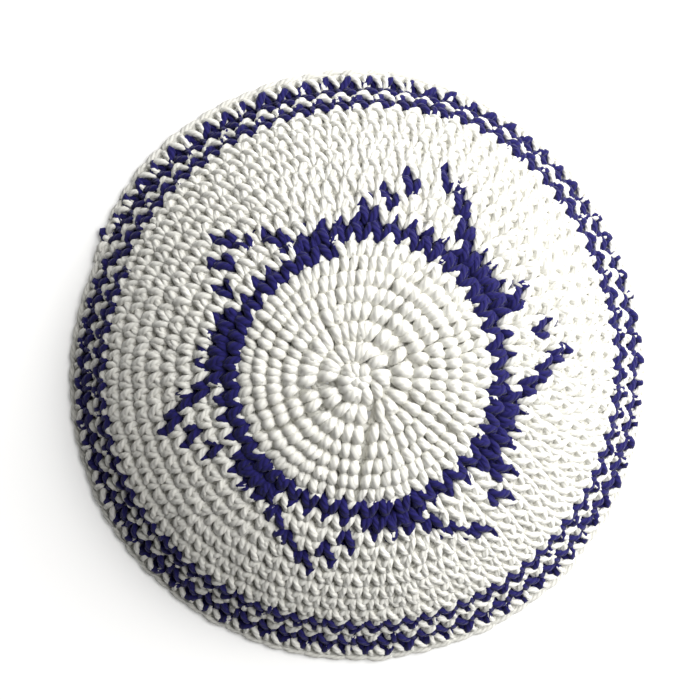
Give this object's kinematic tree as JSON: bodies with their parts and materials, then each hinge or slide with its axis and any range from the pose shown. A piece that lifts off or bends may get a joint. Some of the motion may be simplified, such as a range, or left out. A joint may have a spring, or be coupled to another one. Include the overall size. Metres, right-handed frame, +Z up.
{
  "type": "crocheted kippah skullcap",
  "caption": "Shallow crocheted cotton skullcap, white with a dark blue six-pointed star round its crown and a striped border.",
  "frame": {"origin": "middle of the cap's outline, on the plane that its rim stands on", "axes": "+Z up through the crown; +X and +Y across the open rim, seen from above as the picture shows it"},
  "size_m": [0.162, 0.1672, 0.0404],
  "materials": {
    "white_cotton": "matt plied cotton yarn, off-white",
    "blue_cotton": "matt plied cotton yarn, dark violet blue"
  },
  "bodies": {
    "root": {"crown_top": "white_cotton", "star_band": "blue_cotton", "side_band": "white_cotton", "border_inner": "blue_cotton", "border_middle": "white_cotton", "border_outer": "blue_cotton", "rim_edge": "white_cotton"}
  },
  "joints": []
}
